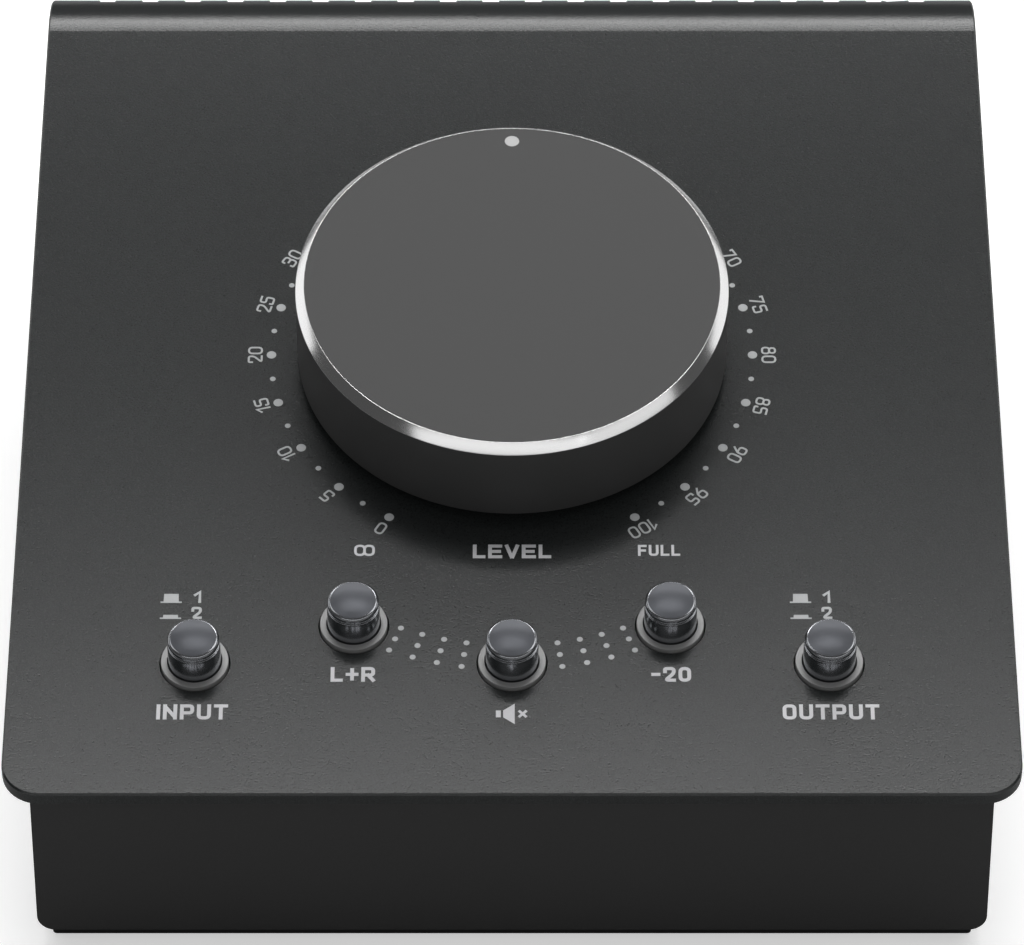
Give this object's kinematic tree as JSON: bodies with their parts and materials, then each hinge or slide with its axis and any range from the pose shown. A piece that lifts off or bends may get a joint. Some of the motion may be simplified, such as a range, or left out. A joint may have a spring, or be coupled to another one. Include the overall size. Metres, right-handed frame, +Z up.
{
  "type": "studio monitor controller",
  "caption": "Desktop studio monitor controller: sloped steel box with one large volume dial, a row of latching push buttons and quarter-inch sockets behind.",
  "frame": {"origin": "on the table, under the middle of the box", "axes": "+X to the user's right, +Y from front to back, +Z up"},
  "size_m": [0.132, 0.1502, 0.0657],
  "materials": {
    "panel_paint": "fine-textured dark grey powder coat",
    "tray_paint": "smooth black powder coat",
    "pad_rubber": "matte",
    "knob_metal": "black anodised, face dark grey, bevel diamond-cut bright",
    "pointer_paint": "light grey inlay",
    "cap_chrome": "polished black chrome",
    "collar_metal": "satin",
    "nickel": "nickel-plated",
    "black_steel": "black oxide",
    "pot_metal": "tin-plated",
    "black_plastic": "moulded",
    "switch_plastic": "moulded",
    "board": "green solder mask on glass laminate",
    "ribbon_jacket": "grey PVC"
  },
  "bodies": {
    "housing": {"top_cover": "panel_paint", "chassis_tray": "tray_paint", "base_pad": "pad_rubber", "volume_pot": "pot_metal", "pot_washer": "nickel", "pot_nut": "nickel", "control_board": "board", "board_pillars": "nickel", "board_screws": "nickel", "pad_resistors": "black_plastic", "input_switch": "switch_plastic", "mono_switch": "switch_plastic", "mute_switch": "switch_plastic", "dim_switch": "switch_plastic", "output_switch": "switch_plastic", "input_collar": "collar_metal", "mono_collar": "collar_metal", "mute_collar": "collar_metal", "dim_collar": "collar_metal", "output_collar": "collar_metal", "input_a_left_jack": "black_plastic", "input_a_right_jack": "black_plastic", "input_b_left_jack": "black_plastic", "input_b_right_jack": "black_plastic", "output_a_left_jack": "black_plastic", "output_a_right_jack": "black_plastic", "output_b_left_jack": "black_plastic", "output_b_right_jack": "black_plastic", "socket_washers": "nickel", "socket_nuts": "nickel", "socket_board": "board", "ribbon_cable": "ribbon_jacket", "front_ribbon_plug": "black_plastic", "rear_ribbon_plug": "black_plastic", "cover_pillars": "nickel", "base_screws": "black_steel", "rear_screws": "black_steel"},
    "knob": {"volume_knob": "knob_metal", "knob_pointer": "pointer_paint", "pot_shaft": "nickel", "knob_set_screw": "black_steel"},
    "input_button": {"input_cap": "cap_chrome", "input_plunger": "switch_plastic"},
    "mono_button": {"mono_cap": "cap_chrome", "mono_plunger": "switch_plastic"},
    "mute_button": {"mute_cap": "cap_chrome", "mute_plunger": "switch_plastic"},
    "dim_button": {"dim_cap": "cap_chrome", "dim_plunger": "switch_plastic"},
    "output_button": {"output_cap": "cap_chrome", "output_plunger": "switch_plastic"}
  },
  "joints": [
    {"name": "volume_turn", "type": "hinge", "parent": "housing", "child": "knob", "pos_m": [0, -0.00267, 0.0449], "axis": [0, 0.2156, -0.9765], "range_deg": [-150, 150]},
    {"name": "input_press", "type": "slide", "parent": "housing", "child": "input_button", "axis": [0, 0.2156, -0.9765], "range_m": [0, 0.0025], "stiffness_N_per_m": 400, "springref_m": -0.002},
    {"name": "mono_press", "type": "slide", "parent": "housing", "child": "mono_button", "axis": [0, 0.2156, -0.9765], "range_m": [0, 0.0025], "stiffness_N_per_m": 400, "springref_m": -0.002},
    {"name": "mute_press", "type": "slide", "parent": "housing", "child": "mute_button", "axis": [0, 0.2156, -0.9765], "range_m": [0, 0.0025], "stiffness_N_per_m": 400, "springref_m": -0.002},
    {"name": "dim_press", "type": "slide", "parent": "housing", "child": "dim_button", "axis": [0, 0.2156, -0.9765], "range_m": [0, 0.0025], "stiffness_N_per_m": 400, "springref_m": -0.002},
    {"name": "output_press", "type": "slide", "parent": "housing", "child": "output_button", "axis": [0, 0.2156, -0.9765], "range_m": [0, 0.0025], "stiffness_N_per_m": 400, "springref_m": -0.002}
  ]
}
